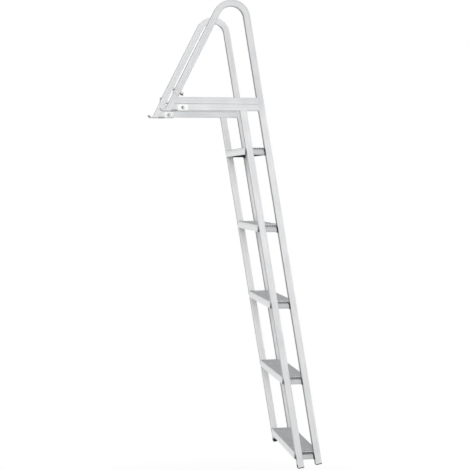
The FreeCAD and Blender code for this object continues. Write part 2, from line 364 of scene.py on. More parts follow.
def rounded_outline(width, height, radius):
    """Points round a rectangle: at each corner a quarter circle of that radius, and one more point a
    little way along the flat side at either end of it, so that the flat sides shade flat."""
    turn = np.linspace(0.0, math.pi / 2, corner_steps)
    angle = np.concatenate([turn[:1], turn, turn[-1:]])
    slide = np.concatenate([[-flat_support], np.zeros(corner_steps), [flat_support]])
    angle = angle + np.arange(4)[:, None] * math.pi / 2
    side_a = np.array([1, -1, -1, 1])[:, None] * (width / 2 - radius)
    side_b = np.array([1, 1, -1, -1])[:, None] * (height / 2 - radius)
    a = side_a + radius * np.cos(angle) - slide * np.sin(angle)
    b = side_b + radius * np.sin(angle) + slide * np.cos(angle)
    return np.stack([a.ravel(), b.ravel()], axis=1)


def sweep(centres, ways, outline, cuts=None):
    """Rings of an outline carried along a path in the plane of a side frame: at each station it lies
    square to the path's way and is slid along it into the plane square to the cut."""
    ways = np.broadcast_to(ways, centres.shape)
    ups = np.cross(ways, across)
    offsets = outline[None, :, :1] * across + outline[None, :, 1:] * ups[:, None, :]
    if cuts is not None:
        cuts = np.broadcast_to(cuts, centres.shape)
        slide = np.einsum("nmk,nk->nm", offsets, cuts) / np.einsum("nk,nk->n", ways, cuts)[:, None]
        offsets = offsets - slide[..., None] * ways[:, None, :]
    return centres[:, None, :] + offsets


def surface(rings, loop=False, wear=0.0):
    """Closed skin over rings of points. Each ring is joined to the next point by point, and the last
    to the first in a loop, or else each end ring is closed by a flat face. Its map gives the way
    round and the way along in metres, and it keeps each point's mark, of wear and of painted light
    and shade, for the material to read."""
    count, around = rings.shape[:2]
    spans = count if loop else count - 1
    row = np.arange(spans)[:, None, None] + np.array([0, 0, 1, 1])
    column = np.arange(around)[None, :, None] + np.array([0, 1, 1, 0])
    quads = ((row % count) * around + column % around).reshape(-1, 4)
    way_round = np.linalg.norm(np.roll(rings, -1, axis=1) - rings, axis=2).mean(axis=0)
    way_along = np.linalg.norm(np.roll(rings, -1, axis=0) - rings, axis=2).mean(axis=1)
    u = np.concatenate([[0.0], np.cumsum(way_round)])
    v = np.concatenate([[0.0], np.cumsum(way_along)])
    chart = np.stack(np.broadcast_arrays(u[column], v[row]), axis=-1).reshape(-1, 2)
    points = rings.reshape(-1, 3)
    corners = quads.ravel()
    sizes = np.full(len(quads), 4)
    if not loop:
        ends = np.concatenate([np.arange(around)[::-1], np.arange(around) + (count - 1) * around])
        corners = np.concatenate([corners, ends])
        sizes = np.concatenate([sizes, [around, around]])
        flat = np.stack([points[ends, 0] + points[ends, 1], points[ends, 2]], axis=1)
        chart = np.concatenate([chart, flat])
    worn = np.broadcast_to(wear, (count, around)).ravel()
    return {"points": points, "worn": worn, "quads": quads, "corners": corners, "sizes": sizes,
            "chart": chart}


def hollow_tube(centres, ways, cuts=None, size=tube_size, wall=tube_wall, corner=tube_corner):
    """Square tube along a path: the outer skin from one end to the other and the bore's skin back. The
    wear is one on the outer corners and nought elsewhere."""
    outer = sweep(centres, ways, rounded_outline(size[0], size[1], corner), cuts)
    bore = rounded_outline(size[0] - 2 * wall, size[1] - 2 * wall, corner - wall / 2)
    inner = sweep(centres, ways, bore, cuts)[::-1]
    on_corner = np.tile(np.concatenate([[0.0], np.ones(corner_steps), [0.0]]), (len(centres), 4))
    wear = np.concatenate([on_corner, np.zeros(inner.shape[:2])])
    return surface(np.concatenate([outer, inner]), loop=True, wear=wear)


def facing_out(skin):
    """The skin with its faces turned outwards. Its volume is a sixth of the sum of a . (b x c) over its
    triangles, and where that is negative, all corners are taken backwards."""
    own = skin["points"] - skin["points"].mean(axis=0)
    a, b, c, d = np.moveaxis(own[skin["quads"]], 1, 0)
    if (a * (np.cross(b, c) + np.cross(c, d))).sum() < 0:
        return skin | {key: skin[key][::-1] for key in ("corners", "sizes", "chart")}
    return skin


def make_piece(name, skins, paint, slot, *replaced):
    """One mesh of all the skins as a piece of the ladder, smooth but for edges sharper than the crease."""
    skins = [facing_out(skin) for skin in skins]
    starts = np.cumsum([0] + [len(skin["points"]) for skin in skins])
    corners = np.concatenate([skin["corners"] + start for skin, start in zip(skins, starts)])
    points, sizes, chart, worn = (np.concatenate([skin[key] for skin in skins])
                                  for key in ("points", "sizes", "chart", "worn"))
    mesh = bpy.data.meshes.new(name)
    mesh.vertices.add(len(points))
    mesh.vertices.foreach_set("co", points.ravel())
    mesh.loops.add(len(corners))
    mesh.loops.foreach_set("vertex_index", corners)
    mesh.polygons.add(len(sizes))
    mesh.polygons.foreach_set("loop_start", np.cumsum(sizes) - sizes)
    mesh.polygons.foreach_set("use_smooth", np.ones(len(sizes), dtype=bool))
    mesh.update(calc_edges=True)
    mesh.uv_layers.new(name="along").data.foreach_set("uv", chart.ravel())
    mesh.attributes.new("worn", "FLOAT", "POINT").data.foreach_set("value", worn)
    mesh.set_sharp_from_angle(angle=crease)
    mesh.materials.append(paint)
    piece = bpy.data.objects.new(name, mesh)
    scene.collection.objects.link(piece)
    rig.ride(piece, "root")
    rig.slot(piece, slot)
    if replaced:
        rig.replaces(piece, *replaced)


def side_pieces(part, skins, paint, slot, replaces=True):
    """A piece of the left frame, and its mirror image on the right one with Y counted back from the
    other side. Each stands in its own node's place, unless it replaces none."""
    mirror = np.array([1.0, -1.0, 1.0])
    flipped = [skin | {"points": skin["points"] * mirror + across * frame_spacing} for skin in skins]
    for side, own in (("left", skins), ("right", flipped)):
        replaced = [side + "_" + part] if replaces else []
        make_piece(side + "_" + part + "_finished", own, paint, slot, *replaced)


def new_paint(name):
    """Nodes of a new material, and the place on the piece, which its patterns read."""
    shade = Shader(bpy.data.materials.new(name))
    return shade, shade.node("ShaderNodeTexCoord", output="Object")


def kept_wear(shade):
    """The mark that the mesh keeps for each of its points: wear, and on some pieces painted light and shade."""
    return shade.node("ShaderNodeAttribute", {"attribute_name": "worn"}, "Fac")


def noise(where, scale, detail, roughness=0.5):
    """Cloudy pattern from nought to one. With three scales it is stretched along the axes."""
    shade = where.shade
    if isinstance(scale, tuple):
        where = shade.node("ShaderNodeMapping", Vector=where, Scale=scale)
        scale = 1.0
    return shade.node("ShaderNodeTexNoise", Vector=where, Scale=scale, Detail=detail, Roughness=roughness)


def mottled(tone, *patterns):
    """A tone that each pattern moves up and down about its own middle, by its share."""
    return sum(((pattern - 0.5) * share for pattern, share in patterns), tone)


def tinted(share, first, second):
    """Colour that goes from the first to the second as the share goes from nought to one. The node
    clamps the share."""
    return share.shade.node("ShaderNodeMix", {"data_type": "RGBA"}, 2, _0=share, _6=first, _7=second)


def finished(shade, colour, rough, relief, strength, depth, **sockets):
    """The material, ended by a shader of this colour and roughness, and with a relief as bump."""
    bump = shade.node("ShaderNodeBump", Strength=strength, Distance=depth, Height=relief)
    sockets = {"Base_Color": colour, "Roughness": rough, "Normal": bump} | sockets
    shade.node("ShaderNodeOutputMaterial", Surface=shade.node("ShaderNodeBsdfPrincipled", **sockets))
    return shade.owner


pale_tones = ((0.61, 0.616, 0.626, 1.0), (0.86, 0.864, 0.87, 1.0))
# Grey of the painted shade on faces turned to the dock, and of dust on upper faces.
shade_and_dust_grey = (0.12, 0.122, 0.125, 1.0)
# Black of all the painted shade on the tube.
painted_shade_black = (0.02, 0.02, 0.02, 1.0)
# The share of a face's normal along a side from which it counts as turned to it, a little and wholly.
half_turned = 0.5
well_turned = 0.75
# Painted light and shade: the right frame is painted paler by the first share, and the tube above the deck darker by
# the second, coming in over this height.
right_frame_painted_light = 0.3
above_deck_painted_shade = 0.28
above_deck_shade_fade = 0.05
dust_start = 0.2
dust_full = 0.45
dust_share = 0.3
# Painted shade on the dock side round each cross bar: its middle this far under the tread, this far each way, fading
# over this much, and only between these two heights down.
weld_shade_drop = 0.017
weld_shade_half = 0.0145
weld_shade_fade = 1 / 130
weld_shade_top = -0.1
weld_shade_full = -0.11
# The feet's dock and inner sides are painted black as shade below this height, fading over this much.
foot_shade_level = cad_box[0][2] + 0.017
foot_shade_fade = 0.004


def nearest_drop(height, first_drop):
    """How far under the deck the nearest of a row of places is, one a tread, from first_drop down."""
    return round((-first_drop - height) / tread_rise) * tread_rise + first_drop


def satin_aluminium(name, tones, dock_shade, weld_shade_share, inner_shade=0.0):
    """Clear anodised drawn tube: fine brush lines along it, soft clouds, and corners rubbed brighter.
    Its dock side is greyed with painted shade, and its upper sides with dust. Painted shade also darkens
    the dock side where the treads are welded on, and the feet's dock and inner sides, and it can
    blacken the side towards the other frame. The right frame's tube is painted a little paler than
    the left one's as painted light, and above the deck it is painted darker as painted shade."""
    shade, place = new_paint(name)
    chart = shade.node("ShaderNodeUVMap", {"uv_map": "along"})
    facing = shade.node("ShaderNodeNewGeometry", output="Normal")
    worn = kept_wear(shade)
    side_y = place.part("Y")
    height = place.part("Z")
    brush = noise(chart, (2600.0, 24.0, 1.0), detail=3.0)
    streak = noise(chart, (260.0, 3.0, 1.0), detail=2.0)
    cloud = noise(place, 14.0, detail=4.0)
    smudge = noise(place, 150.0, detail=3.0)
    rubbed = (worn * (cloud * 1.6 - 0.2)).clamp()
    # Painted light on the right frame, and painted shade above the deck.
    painted_light_shift = side_y * (right_frame_painted_light / frame_spacing) - ramp(height, 0.0, above_deck_shade_fade) * above_deck_painted_shade
    tone = mottled(0.5, (brush, 0.9), (streak, 0.9), (cloud, 0.7)) + rubbed * 0.3 + painted_light_shift
    colour = tinted(tone, *tones)
    dock_side = ramp(facing.part("X"), -half_turned, -well_turned)
    inward = facing.part("Y") * (1 - side_y / (frame_spacing / 2))
    inner_side = ramp(inward, half_turned, well_turned)
    from_bar = abs(height + nearest_drop(height, first_tread_drop + weld_shade_drop))
    # Painted shade: dark on the dock side where each cross bar meets the stile.
    weld_shade = ((weld_shade_half - from_bar) / weld_shade_fade + smudge - 0.5).clamp() * ramp(height, weld_shade_top, weld_shade_full)
    # Painted shade: black on the feet's dock and inner sides.
    foot_shade = ((foot_shade_level - height) / foot_shade_fade + smudge - 0.5).clamp()
    dust = ramp(facing.part("Z"), dust_start, dust_full)
    # Painted shade on faces turned to the dock, and dust on upward faces.
    grey = dock_side * mottled(dock_shade, (cloud, 0.2)) + dust * dust_share
    # All painted shade: at the cross bars, on the feet and on the inner side.
    black = weld_shade * dock_side * weld_shade_share + foot_shade * (dock_side + inner_side).clamp()
    # Painted shade: the side towards the other frame is blackened by this share.
    black = (black + inner_side * inner_shade).clamp()
    colour = tinted(grey, colour, shade_and_dust_grey)
    colour = tinted(black, colour, painted_shade_black)
    rough = brush * 0.14 + cloud * 0.1 + 0.3 - rubbed * 0.1 + black * 0.2
    return finished(shade, colour, rough, relief=brush, strength=0.08, depth=0.0004,
                    Metallic=(1 - grey - black).clamp() * 0.2, Specular_IOR_Level=0.2)


tube_paint = satin_aluminium("satin_aluminium", pale_tones, dock_shade=0.55, weld_shade_share=0.85)
sleeve_end = leg_axis(sleeve_height)
apex_z = (rear_stile_reach + leg_setback) / (math.tan(leg_lean) + math.tan(stile_lean))
apex = rear_axis(apex_z)
half_bend = (stile_lean + leg_lean) / 2
to_tangent = arch_radius / math.tan(half_bend)
arch_centre = apex + unit(stile_down - leg_up) * arch_radius / math.sin(half_bend)
arch_turn = np.linspace(0.0, math.pi - stile_lean - leg_lean, arch_steps)[:, None]
arch_out = apex - leg_up * to_tangent - arch_centre
arch_points = arch_centre + arch_out * np.cos(arch_turn) + leg_up * arch_radius * np.sin(arch_turn)
arch_ways = leg_up * np.cos(arch_turn) - arch_out / arch_radius * np.sin(arch_turn)
handrail_points = np.concatenate([[sleeve_end], arch_points, [foot_point(rear_axis)]])
handrail_ways = np.concatenate([[leg_up], arch_ways, [stile_down]])
handrail = hollow_tube(handrail_points, handrail_ways)
side_pieces("handrail_tube", [handrail], tube_paint, "square_tube")


# Front stiles: a straight length of the same tube a side, from the lower rail down to the foot, on
# the dock's side of the rear stile and parallel to it. The cross bars join the two.
upright = np.array([0.0, 0.0, 1.0])
front_paint = satin_aluminium("front_stile_aluminium", pale_tones, dock_shade=0.15, weld_shade_share=0.5)


def front_axis(z):
    """Point of the front stile's axis at height z."""
    return rear_axis(z) - to_water * stile_spacing


front_ends = np.array([front_axis(rail_floor), foot_point(front_axis)])
front_cuts = np.array([upright, stile_down])
front_stile = hollow_tube(front_ends, stile_down, front_cuts)
side_pieces("front_stile", [front_stile], front_paint, "square_tube")


# Leg stubs: a narrower square tube a side, which stands on the deck bracket and is welded to the
# ends of the rails. The handrail's leg slides over it and is held by the lock pin.
stub_clearance = 0.0002
stub_wall = 0.0015
stub_corner = 0.0015
stub_engagement = 0.06
stub_side = tube - 2 * tube_wall - 2 * stub_clearance
stub_size = (stub_side, stub_side)
stub_ends = np.array([leg_axis(rail_floor), sleeve_end + leg_up * stub_engagement])
stub_cuts = np.array([upright, leg_up])
stub = hollow_tube(stub_ends, leg_up, stub_cuts, stub_size, stub_wall, stub_corner)
side_pieces("leg_stub", [stub], tube_paint, "square_tube")


# Deck rails: two level square tubes a side, one on the other. Their ends are cut to the lean of the
# stub and of the rear stile and are welded to both.
stile_face = np.array([math.cos(stile_lean), 0.0, math.sin(stile_lean)])
leg_face = np.array([math.cos(leg_lean), 0.0, -math.sin(leg_lean)])
stile_half = half_tube / math.cos(stile_lean)
stub_half = stub_side / 2 / math.cos(leg_lean)
rail_parts = ("lower_rail", "upper_rail")
rail_cuts = np.array([leg_face, stile_face])


def rail_ends(level):
    """Middles of a rail's two ends, on the faces of the stub and of the rear stile."""
    rail_z = rail_floor + (level + 0.5) * tube
    return np.array([leg_axis(rail_z) + to_water * stub_half, rear_axis(rail_z) - to_water * stile_half])


for level, part in enumerate(rail_parts):
    rail = hollow_tube(rail_ends(level), to_water, rail_cuts)
    side_pieces(part, [rail], tube_paint, "square_tube")


# Cross bars: a short tube between front and rear stile at each tread, which carries the tread's end.
# It is the same aluminium, set in from the frame's outer side. Its darker tones and black inner
# side are painted shade of the recess under the tread.
bar_size = (0.025, 0.02)
bar_wall = 0.0015
bar_setback = 0.0125
mat_thickness = 0.0025
groove_depth = 0.004
tread_web = 0.0025
bar_shade_tones = ((0.42, 0.423, 0.428, 1.0), (0.75, 0.753, 0.758, 1.0))
bar_paint = satin_aluminium("shaded_bar_aluminium", bar_shade_tones, dock_shade=0.0, weld_shade_share=0.0, inner_shade=0.93)


def tread_top(number):
    """Height of a mat's top, counted from the deck down."""
    return -first_tread_drop - (number - 1) * tread_rise


def bar_ends(number):
    """Middles of a cross bar's two ends, on the faces of the stiles that it joins."""
    bar_z = tread_top(number) - mat_thickness - groove_depth - tread_web - bar_size[1] / 2
    inset = across * (bar_setback - half_tube + bar_size[0] / 2)
    return np.array([front_axis(bar_z) + to_water * stile_half + inset,
                     rear_axis(bar_z) - to_water * stile_half + inset])


for number in range(1, tread_count + 1):
    bar = hollow_tube(bar_ends(number), to_water, stile_face, bar_size, bar_wall)
    side_pieces("cross_bar_" + str(number), [bar], bar_paint, "square_tube")


# Weld beads: aluminium filler laid by hand round every joint of the side frames. The small even
# ripples are the puddles of the weld, and the bead swells and thins a little on its way.
bead_radius = 0.0021
front_bar_bead = 0.0018
rear_bar_bead = 0.0034
tube_sink = 0.0012
stub_sink = 0.0002
bar_sink = 0.0008
bead_step = 0.00036
bead_sides = 10
ripple_pitch = 0.0019
ripple_share = 0.16
drift_pitch = 0.021
drift_share = 0.1
drift_turn = 40.0
# The cross bars' beads are painted dark as shade: their crests are counted down by this, and the paint darkens between
# these two crests.
bar_bead_shade = -3.0
bead_shade_start = -0.8
bead_shade_end = -2.05
weld_tones = ((0.6, 0.605, 0.615, 1.0), (0.84, 0.845, 0.85, 1.0))
bead_shade_black = (0.05, 0.05, 0.05, 1.0)


def round_skin(path, outwards, girth, sides, loop=True, wear=0.0):
    """Skin of a round wire: at each point of the path a circle square to it, whose radius is the girth
    and whose first spoke points as nearly outwards as it can."""
    steps = np.roll(path, -1, axis=0) - np.roll(path, 1, axis=0) if loop else np.gradient(path, axis=0)
    ways = unit(steps)
    first = unit(outwards - ways * (outwards * ways).sum(axis=1, keepdims=True))
    second = np.cross(ways, first)
    turn = np.linspace(0.0, 2 * math.pi, sides, endpoint=False)[:, None]
    spokes = np.cos(turn) * first[:, None, :] + np.sin(turn) * second[:, None, :]
    return surface(path[:, None, :] + np.reshape(girth, (-1, 1, 1)) * spokes, loop=loop, wear=wear)


def weld_bead(points, radius, weld_shade=0.0):
    """Rippled round bead at even steps round a loop of straight runs. Its radius is radius times one
    plus two waves of the length: a short one, the absolute sine of the ripples, and a long slow one."""
    line = np.concatenate([points, points[:1]])
    so_far = np.concatenate([[0.0], np.cumsum(np.linalg.norm(np.diff(line, axis=0), axis=1))])
    place = np.linspace(0.0, so_far[-1], int(so_far[-1] / bead_step), endpoint=False)
    path = np.stack([np.interp(place, so_far, line[:, axis]) for axis in range(3)], axis=1)
    ripple = np.abs(np.sin(math.pi * place / ripple_pitch)) - 0.5
    drift = np.sin(2 * math.pi * place / drift_pitch + drift_turn * points[0, 2])
    girth = radius * (1 + ripple_share * ripple + drift_share * drift)
    crest = 0.5 + ripple + weld_shade
    return round_skin(path, path - path.mean(axis=0), girth, bead_sides, wear=crest[:, None])


def weld_metal():
    """Bare weld aluminium: silvery ripples, brighter on their crests, with a grey bloom between. The
    beads of the cross bars, whose crests are counted down from nought, are painted dark as shade."""
    shade, place = new_paint("weld_metal")
    crest = kept_wear(shade)
    grain = noise(place, 900.0, detail=2.0)
    bloom = noise(place, 120.0, detail=3.0)
    # Painted shade on the cross bars' beads.
    weld_shade = ramp(crest, bead_shade_start, bead_shade_end)
    tone = mottled(0.2, (grain, 0.3), (bloom, 0.3)) + crest.clamp() * 0.6
    colour = tinted(tone, *weld_tones)
    colour = tinted(weld_shade, colour, bead_shade_black)
    rough = 0.48 - crest.clamp() * 0.14 + grain * 0.08 + weld_shade * 0.2
    return finished(shade, colour, rough, relief=grain, strength=0.15, depth=0.0003,
                    Metallic=(1 - weld_shade) * 0.35, Specular_IOR_Level=0.25)


def joint_loop(centre, way, cut, size, sink):
    """Closed path round a tube's end where it meets another face, sunk a little below the tube's skin."""
    outline = rounded_outline(size[0] - 2 * sink, size[1] - 2 * sink, tube_corner)
    return sweep(centre[None], way, outline, cut)[0]


beads = []
for level in range(len(rail_parts)):
    for centre, cut in zip(rail_ends(level), rail_cuts):
        beads.append(weld_bead(joint_loop(centre, to_water, cut, tube_size, tube_sink), bead_radius))
for centre, way, size, sink in ((front_ends[0], stile_down, tube_size, tube_sink),
                                (stub_ends[0], leg_up, stub_size, stub_sink)):
    beads.append(weld_bead(joint_loop(centre, way, upright, size, sink), bead_radius))
for number in range(1, tread_count + 1):
    for end, radius in zip(bar_ends(number), (front_bar_bead, rear_bar_bead)):
        path = joint_loop(end, to_water, stile_face, bar_size, bar_sink)
        beads.append(weld_bead(path, radius, bar_bead_shade))
side_pieces("frame_welds", beads, weld_metal(), "square_tube", replaces=False)


# Foot caps: black moulded plastic, pushed into the cut ends of the stiles, with a flange as wide as
# the tube whose lower edge is rounded.
cap_flange = 0.004
cap_plug = 0.014
cap_clearance = 0.0003
cap_edge = 0.0014
cap_edge_steps = 5
cap_taper = 0.0006
moulded_tones = ((0.012, 0.012, 0.013, 1.0), (0.055, 0.055, 0.056, 1.0))


def eased(radius, steps):
    """Quarter circle that rounds an edge: how far in its points are from one face and from the other."""
    turn = np.linspace(0.0, math.pi / 2, steps)
    return radius * (1 - np.cos(turn)), radius * (1 - np.sin(turn))


def moulded_black():
    """Black moulded plastic: fine spark-eroded grain, greyed where it is scuffed."""
    shade, place = new_paint("moulded_black")
    grain = noise(place, 1500.0, detail=2.0)
    scuff = noise(place, 160.0, detail=5.0, roughness=0.65)
    scraped = ramp(scuff, 0.56, 0.727) * 0.6
    colour = tinted(scraped, *moulded_tones)
    return finished(shade, colour, scraped * 0.2 + 0.5, relief=grain, strength=0.2, depth=0.0002,
                    Specular_IOR_Level=0.25)


black_paint = moulded_black()
plug_size = tube - 2 * tube_wall - 2 * cap_clearance
cap_depth, cap_inset = eased(cap_edge, cap_edge_steps)
cap_places = np.concatenate([[-cap_plug, cap_edge - cap_plug, 0.0, 0.0], cap_flange - cap_inset])
cap_sizes = np.concatenate([[plug_size - 2 * cap_taper, plug_size, plug_size, tube], tube - 2 * cap_depth])
cap_outline = sweep(np.zeros((1, 3)), stile_down, rounded_outline(tube, tube, tube_corner) / tube)
cap_rings = cap_places[:, None, None] * stile_down + cap_sizes[:, None, None] * cap_outline
for axis, part in ((front_axis, "front_foot_cap"), (rear_axis, "rear_foot_cap")):
    side_pieces(part, [surface(foot_point(axis) + cap_rings)], black_paint, "black_cap")


# Treads: deep channel extrusions of mill-finish aluminium, welded between the side frames, with
# dovetail grooves for the mats. Their solids are as drawn, and carry the die's fine lines along Y.
groove_reach = 0.0405
groove_fade = 0.0002
groove_slack = 0.0005
bare_end = 0.002
bare_start = frame_spacing / 2 - half_tube - bare_end
bare_fade = 0.0005
channel_reach = 0.048
channel_top = 0.0092
reach_fade = 1 / 3000
# How strongly painted shade darkens the channel's inside, the underside and the ends, and how much more the ends
# darken per metre down.
channel_shade = 0.9
under_shade = 0.7
end_shade = 0.4
end_shade_rise = 0.28
lower_duller = 0.2
mill_tones = ((0.8, 0.806, 0.814, 1.0), (0.93, 0.934, 0.938, 1.0))
tread_shade_black = (0.03, 0.03, 0.03, 1.0)


def band(value, low, high, fade):
    """Mask that is one between two values, and fades to nought just inside them."""
    return ramp(value, low, low + fade) * ramp(value, high, high - fade)


def die_lined_aluminium():
    """Extruded aluminium: die lines along Y of several widths, soft grey clouds and a few rub marks.
    It is painted black as shade in the grooves and inside the channel, and dark as shade underneath
    and on its sawn ends; the lower a tread is, the darker its tone and the darker its ends are painted."""
    shade, place = new_paint("die_lined_aluminium")
    facing = shade.node("ShaderNodeNewGeometry", output="Normal")
    fine = noise(place, (2400.0, 6.0, 2400.0), detail=3.0)
    broad = noise(place, (420.0, 2.0, 420.0), detail=2.0)
    cloud = noise(place, 18.0, detail=4.0)
    rub = noise(place, (60.0, 300.0, 60.0), detail=4.0)
    rubbed = ramp(rub, 0.62, 0.763) * 0.5
    height = place.part("Z")
    top_drop = nearest_drop(height, first_tread_drop)
    below_top = 0.0 - height - top_drop
    middle_x = top_drop * math.tan(stile_lean) + rear_stile_reach - stile_spacing / 2
    off_middle = abs(place.part("X") - middle_x)
    off_centre = abs(place.part("Y") - frame_spacing / 2)
    groove_low = mat_thickness + groove_depth + groove_slack
    # Painted shade: black in the groove ends and inside the channel, dark underneath and on the ends.
    deep = band(below_top, mat_thickness + groove_fade, groove_low, groove_fade)
    deep = deep * ramp(off_middle, groove_reach, groove_reach - reach_fade)
    deep = deep * ramp(off_centre, bare_start, bare_start - bare_fade)
    inside = ramp(off_middle, channel_reach, channel_reach - reach_fade)
    inside = inside * ramp(below_top, channel_top, channel_top + reach_fade)
    under = ramp(facing.part("Z"), -half_turned, -well_turned)
    sawn = ramp(abs(facing.part("Y")), half_turned, well_turned)
    sawn = sawn * (top_drop * end_shade_rise + end_shade)
    dark = (deep + inside * channel_shade + under * under_shade + sawn).clamp()
    tone = mottled(0.5, (fine, 0.7), (broad, 0.8), (cloud, 0.5)) + rubbed * 0.3 - top_drop * lower_duller
    colour = tinted(tone, *mill_tones)
    colour = tinted(dark, colour, tread_shade_black)
    rough = fine * 0.14 + cloud * 0.1 + 0.26 + rubbed * 0.12 + dark * 0.3
    return finished(shade, colour, rough, relief=fine + broad, strength=0.1, depth=0.0004,
                    Metallic=(1 - dark) * 0.5, Specular_IOR_Level=0.2)


def repaint(node, paint):
    """Give a CAD node's every material slot one paint."""
    piece = frame["nodes"][node]
    if not piece.material_slots:
        piece.data.materials.append(paint)
    for slot in piece.material_slots:
        slot.material = paint


tread_paint = die_lined_aluminium()
for number in range(1, tread_count + 1):
    repaint("tread_" + str(number), tread_paint)


# Tread mats: extruded grey rubber with fine ribs along the tread, held by dovetail ribs underneath
# that are pressed into the grooves and stop short of the mat's ends.
mat_margin = 0.002
mat_end_gap = 0.0005
mat_clearance = 0.00015
mat_edge = 0.0007
mat_edge_steps = 4
mat_end_ease = 0.0002
mat_end_share = 0.9
rib_pitch = 0.0024
rib_height = 0.0006
rib_samples = 8
rib_trim = 0.012
groove_pitch = 0.0096
groove_count = 9
groove_mouth = 0.0036
groove_flare = 0.0009
edge_wear = 0.6
# The mat's cut ends are painted pale as a highlight: their mark, and the marks between which the paint goes pale.
end_highlight_mark = 2.0
end_highlight_start = 1.2
end_highlight_full = 1.7
# The ribs in the grooves are painted black as shade.
rib_shade = -1.0
rubber_tones = ((0.4, 0.403, 0.408, 1.0), (0.7, 0.703, 0.708, 1.0))
rubber_end_highlight = (0.8, 0.8, 0.8, 1.0)
rubber_shade_black = (0.02, 0.02, 0.02, 1.0)
tread_depth = stile_spacing + 2 * stile_half
mat_start = half_tube + mat_end_gap
mat_end = frame_spacing - half_tube - mat_end_gap


def tread_middle(number):
    """Point of a mat's top, half way between the stiles."""
    return rear_axis(tread_top(number)) - to_water * stile_spacing / 2


def carried(x, y, z):
    """Rings of an outline in X and Z, one at each of the places y across the ladder."""
    return np.stack(np.broadcast_arrays(x, y[:, None], z), axis=-1)


def ribbed_mat(number):
    """Sheet whose top is a row of rounded ribs: its height falls by rib_height times one less the root
    of the absolute sine of the place across. The section is carried along the tread, and is a
    little lower at its two ends."""
    half = tread_depth / 2 - mat_margin
    ribs = int((2 * half - 2 * mat_edge) / rib_pitch)
    x = np.linspace(-half + mat_edge, half - mat_edge, ribs * rib_samples + 1)
    wave = np.abs(np.sin(math.pi * (x - x[0]) / (x[-1] - x[0]) * ribs)) ** 0.5
    depth, inset = eased(mat_edge, mat_edge_steps)
    left = np.stack([depth - half, -inset], axis=1)
    top = np.stack([x, -rib_height * (1 - wave)], axis=1)
    right = left[::-1] * np.array([-1.0, 1.0])
    under = np.array([[half, -mat_thickness], [-half, -mat_thickness]])
    section = np.concatenate([left, top[1:-1], right, under])
    places = np.array([mat_start, mat_start + mat_end_ease, mat_end - mat_end_ease, mat_end])
    heights = np.array([mat_end_share, 1.0, 1.0, mat_end_share])[:, None]
    centre = tread_middle(number)
    z = centre[2] - mat_thickness + heights * (mat_thickness + section[:, 1])
    edges = np.full(mat_edge_steps, edge_wear)
    crest = np.concatenate([edges, wave[1:-1], edges, np.zeros(len(under))])
    # The cut ends carry the mark of the painted highlight.
    cut = np.array([end_highlight_mark, 0.0, 0.0, end_highlight_mark])[:, None]
    return surface(carried(centre[0] + section[:, 0], places, z), wear=crest + cut)


def locking_ribs(number):
    """Dovetail ribs under a mat: one section of four sides, wider below, carried along each groove."""
    mouth = groove_mouth / 2 - mat_clearance
    foot = mouth + groove_flare
    x = tread_middle(number)[0] + np.array([-mouth, -foot, foot, mouth])
    high = tread_top(number) - mat_thickness + mat_clearance
    low = high - groove_depth
    z = np.array([high, low, low, high])
    places = np.array([mat_start + rib_trim, mat_end - rib_trim])
    offsets = groove_pitch * (np.arange(groove_count) - (groove_count - 1) / 2)
    return [surface(carried(x + offset, places, z), wear=rib_shade) for offset in offsets]


def ribbed_rubber():
    """Grey extruded rubber: fine grain, and ribs rubbed paler on their crests. Its cut ends are painted
    pale as a painted highlight, and the ribs in the grooves, whose crests are counted down from nought,
    are painted black as shade."""
    shade, place = new_paint("ribbed_rubber")
    crest = kept_wear(shade)
    grain = noise(place, 1300.0, detail=3.0)
    patch = noise(place, 22.0, detail=5.0, roughness=0.6)
    drag = noise(place, (90.0, 8.0, 90.0), detail=3.0)
    tone = mottled(0.35, (grain, 0.6), (patch, 0.6), (drag, 0.4)) + crest.clamp() * 0.35
    colour = tinted(tone, *rubber_tones)
    # Painted highlight on the mat's cut ends.
    colour = tinted(ramp(crest, end_highlight_start, end_highlight_full), colour, rubber_end_highlight)
    # Painted shade on the ribs in the grooves.
    colour = tinted(ramp(crest, 0.0, rib_shade), colour, rubber_shade_black)
    rough = 0.72 - crest.clamp() * 0.12 + grain * 0.1
    return finished(shade, colour, rough, relief=grain, strength=0.35, depth=0.0003)


mat_paint = ribbed_rubber()
for number in range(1, tread_count + 1):
    mat = "tread_mat_" + str(number)
    skins = [ribbed_mat(number)] + locking_ribs(number)
    make_piece(mat + "_finished", skins, mat_paint, "tread_rubber", mat)


# Deck brackets: a base plate of grey steel whose dock end is bent up into a toe, drilled for four
# deck screws. Its solid is as drawn, with the dull spangle of galvanised sheet.
# The plate is painted dark as shade under the lower rail between these places, and on the right bracket's toe.
rail_shade_start = -0.018
rail_shade_end = 0.0105
rail_shade_fade = 0.0025
plate_shade_share = 0.6
toe_place = -0.048
toe_fade = 1 / 300
zinc_tones = ((0.55, 0.555, 0.56, 1.0), (0.72, 0.725, 0.73, 1.0))
plate_shade_black = (0.1, 0.1, 0.1, 1.0)


